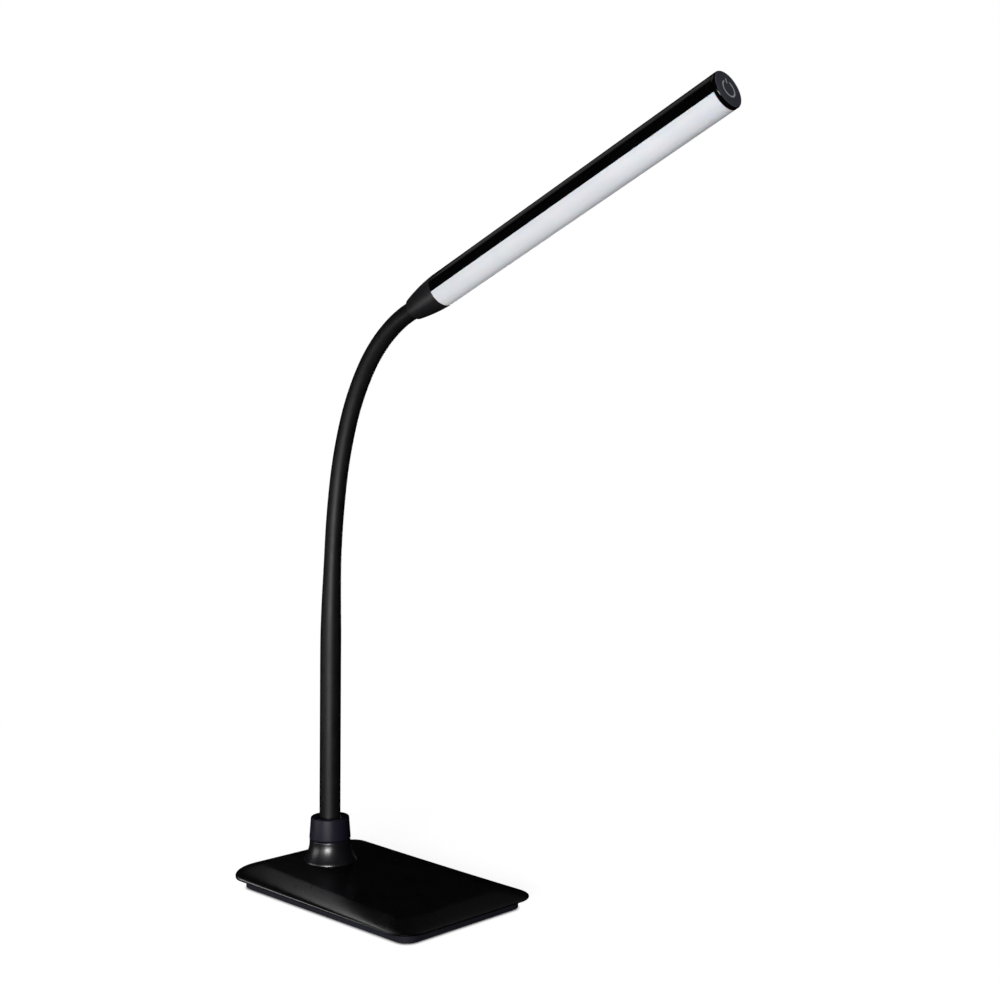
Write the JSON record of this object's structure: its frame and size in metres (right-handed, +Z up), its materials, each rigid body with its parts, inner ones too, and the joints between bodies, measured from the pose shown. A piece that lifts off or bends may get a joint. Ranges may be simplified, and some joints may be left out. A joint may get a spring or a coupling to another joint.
{
  "type": "gooseneck desk lamp",
  "caption": "Desk lamp with a bar-shaped LED head, a bendable rubber-covered gooseneck and a flat weighted base, with a touch switch on the head's tip.",
  "frame": {"origin": "centre of the foot pad's underside, on the table", "axes": "+Z up, +X forward to the side that the head leans over, +Y to the lamp's left"},
  "size_m": [0.3305, 0.1036, 0.4347],
  "materials": {
    "cover": "gloss black",
    "plinth": "fine-grained black",
    "pad": "black foam",
    "steel": "plain",
    "grommet": "black",
    "black_plastic": "black",
    "board": "green lacquer",
    "light_board": "white lacquer",
    "collar": "satin dark",
    "sleeve": "matte",
    "lead": "satin",
    "connector": "satin black",
    "shell": "gloss black",
    "diffuser": "satin opal",
    "chips": "clear over phosphor",
    "cap": "satin",
    "symbol": "grey"
  },
  "bodies": {
    "base": {"base_cover": "cover", "base_plinth": "plinth", "foot_pad": "pad", "base_screws": "steel", "ballast_plate": "steel", "ballast_screws": "steel", "cord_grommet": "grommet", "cord_clamp": "black_plastic", "clamp_screws": "steel", "power_board": "board", "board_screws": "steel", "board_parts": "black_plastic", "neck_collar": "collar", "lower_ferrule": "steel", "ferrule_washer": "steel", "ferrule_nut": "steel", "base_lead": "lead", "neck_sleeve_1": "sleeve", "neck_hose_1": "steel"},
    "neck_1": {"neck_sleeve_2": "sleeve", "neck_hose_2": "steel", "neck_lead_2": "lead"},
    "neck_2": {"neck_sleeve_3": "sleeve", "neck_hose_3": "steel", "neck_lead_3": "lead"},
    "neck_3": {"neck_sleeve_4": "sleeve", "neck_hose_4": "steel", "neck_lead_4": "lead"},
    "neck_4": {"neck_sleeve_5": "sleeve", "neck_hose_5": "steel", "neck_lead_5": "lead"},
    "neck_5": {"neck_sleeve_6": "sleeve", "neck_hose_6": "steel", "neck_lead_6": "lead"},
    "neck_6": {"neck_sleeve_7": "sleeve", "neck_hose_7": "steel", "neck_lead_7": "lead"},
    "neck_7": {"neck_sleeve_8": "sleeve", "neck_hose_8": "steel", "neck_lead_8": "lead"},
    "neck_8": {"neck_sleeve_9": "sleeve", "neck_hose_9": "steel", "neck_lead_9": "lead"},
    "head": {"head_connector": "connector", "upper_ferrule": "steel", "head_washer": "steel", "head_nut": "steel", "head_shell": "shell", "diffuser": "diffuser", "light_board": "light_board", "light_chips": "chips", "end_cap": "cap", "touch_board": "board", "touch_chip": "black_plastic", "touch_ribbon": "lead", "power_symbol": "symbol", "head_lead": "lead", "neck_sleeve_10": "sleeve", "neck_hose_10": "steel"}
  },
  "joints": [
    {"name": "neck_bend_1", "type": "hinge", "parent": "base", "child": "neck_1", "pos_m": [-0.04581, 0, 0.0582], "axis": [0, 1, 0], "range_deg": [-24, 11]},
    {"name": "neck_swing_1", "type": "hinge", "parent": "neck_1", "child": "neck_2", "pos_m": [-0.04543, 0, 0.09547], "axis": [0.9999, 0, -0.0101], "range_deg": [-20, 20]},
    {"name": "neck_bend_2", "type": "hinge", "parent": "neck_2", "child": "neck_3", "pos_m": [-0.04505, 0, 0.13275], "axis": [0, 1, 0], "range_deg": [-24, 11]},
    {"name": "neck_swing_2", "type": "hinge", "parent": "neck_3", "child": "neck_4", "pos_m": [-0.04423, 0, 0.17001], "axis": [0.9994, 0, -0.0339], "range_deg": [-20, 20]},
    {"name": "neck_bend_3", "type": "hinge", "parent": "neck_4", "child": "neck_5", "pos_m": [-0.04211, 0, 0.20722], "axis": [0, 1, 0], "range_deg": [-24, 11]},
    {"name": "neck_swing_3", "type": "hinge", "parent": "neck_5", "child": "neck_6", "pos_m": [-0.0374, 0, 0.24418], "axis": [0.9849, 0, -0.1732], "range_deg": [-20, 20]},
    {"name": "neck_bend_4", "type": "hinge", "parent": "neck_6", "child": "neck_7", "pos_m": [-0.02786, 0, 0.28017], "axis": [0, 1, 0], "range_deg": [-24, 11]},
    {"name": "neck_swing_4", "type": "hinge", "parent": "neck_7", "child": "neck_8", "pos_m": [-0.01055, 0, 0.31305], "axis": [0.811, 0, -0.585], "range_deg": [-20, 20]},
    {"name": "neck_bend_5", "type": "hinge", "parent": "neck_8", "child": "head", "pos_m": [0.01702, 0, 0.33769], "axis": [0, 1, 0], "range_deg": [-24, 11]}
  ]
}
